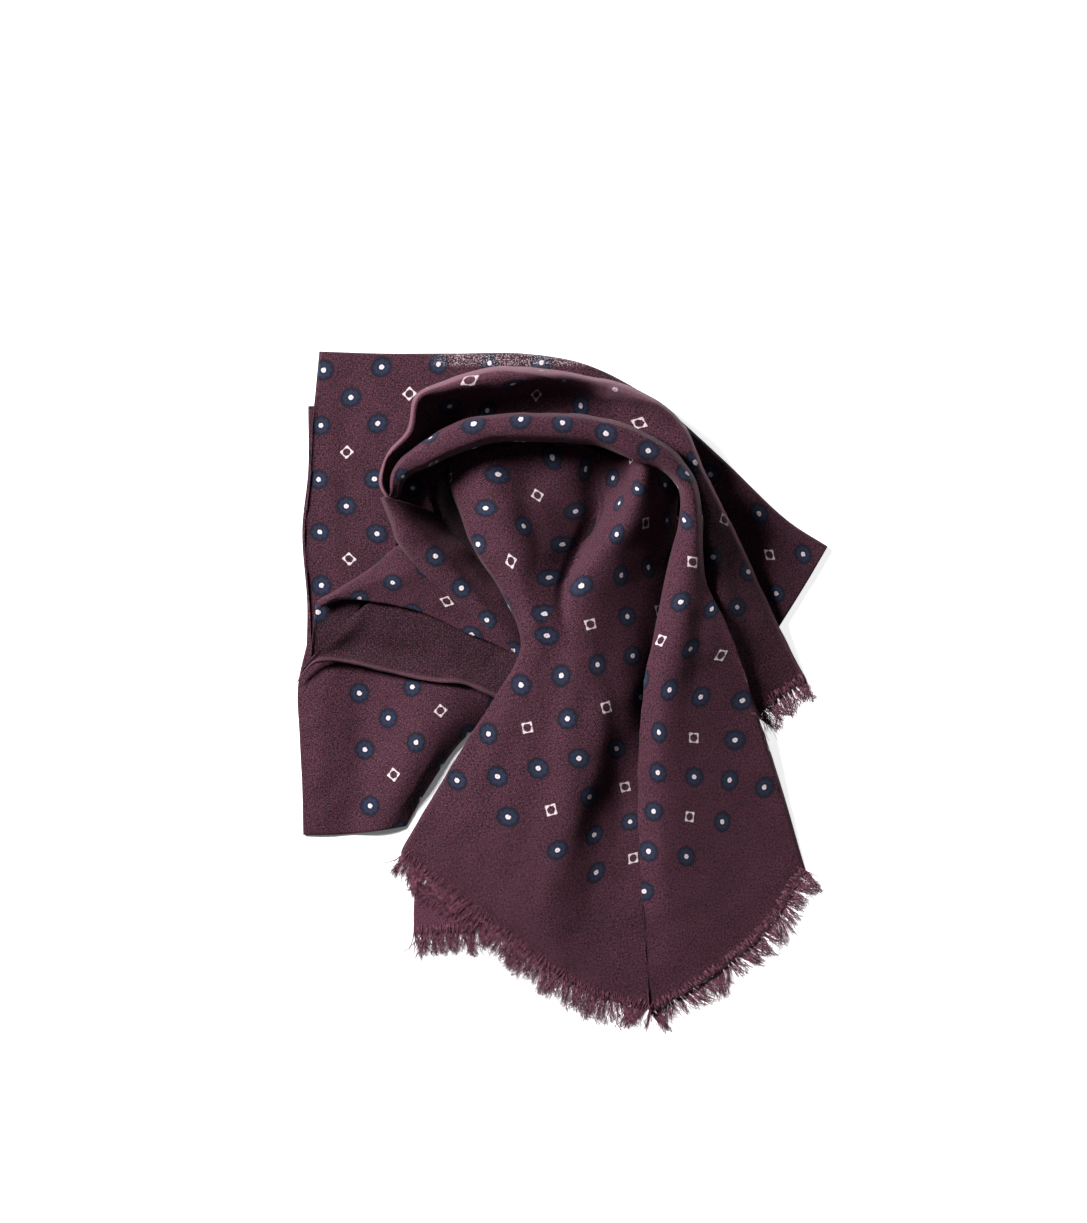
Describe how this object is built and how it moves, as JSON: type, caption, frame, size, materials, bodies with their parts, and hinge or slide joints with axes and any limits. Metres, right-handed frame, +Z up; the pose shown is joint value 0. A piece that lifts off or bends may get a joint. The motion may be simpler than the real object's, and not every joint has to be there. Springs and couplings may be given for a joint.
{
  "type": "wool scarf",
  "caption": "Fringed wool scarf doubled lengthwise, looped over itself and laid flat, its printed front spread like a fan",
  "frame": {"origin": "middle of the scarf's bounding box on the surface that it lies on", "axes": "+Z up from the surface; -Y towards the fringed front of the fan; +X to the right when the fringe is nearest"},
  "size_m": [0.2664, 0.3411, 0.0494],
  "materials": {
    "printed_wool": "fine matt plain-weave wool, burgundy with a small navy and white print",
    "fringe_wool": "loose burgundy wool yarn ends"
  },
  "bodies": {
    "root": {"core": "printed_wool", "under_layer": "printed_wool", "back_panel": "printed_wool", "lower_left_panel": "printed_wool", "fold_1_turn": "printed_wool", "wedge": "printed_wool", "fold_1": "printed_wool", "wrap": "printed_wool", "band": "printed_wool", "front_left": "printed_wool", "front_right": "printed_wool", "under_corner": "printed_wool", "under_corner_fringe": "fringe_wool", "right_end_fringe": "fringe_wool", "front_left_fringe": "fringe_wool", "front_right_fringe": "fringe_wool"}
  },
  "joints": []
}
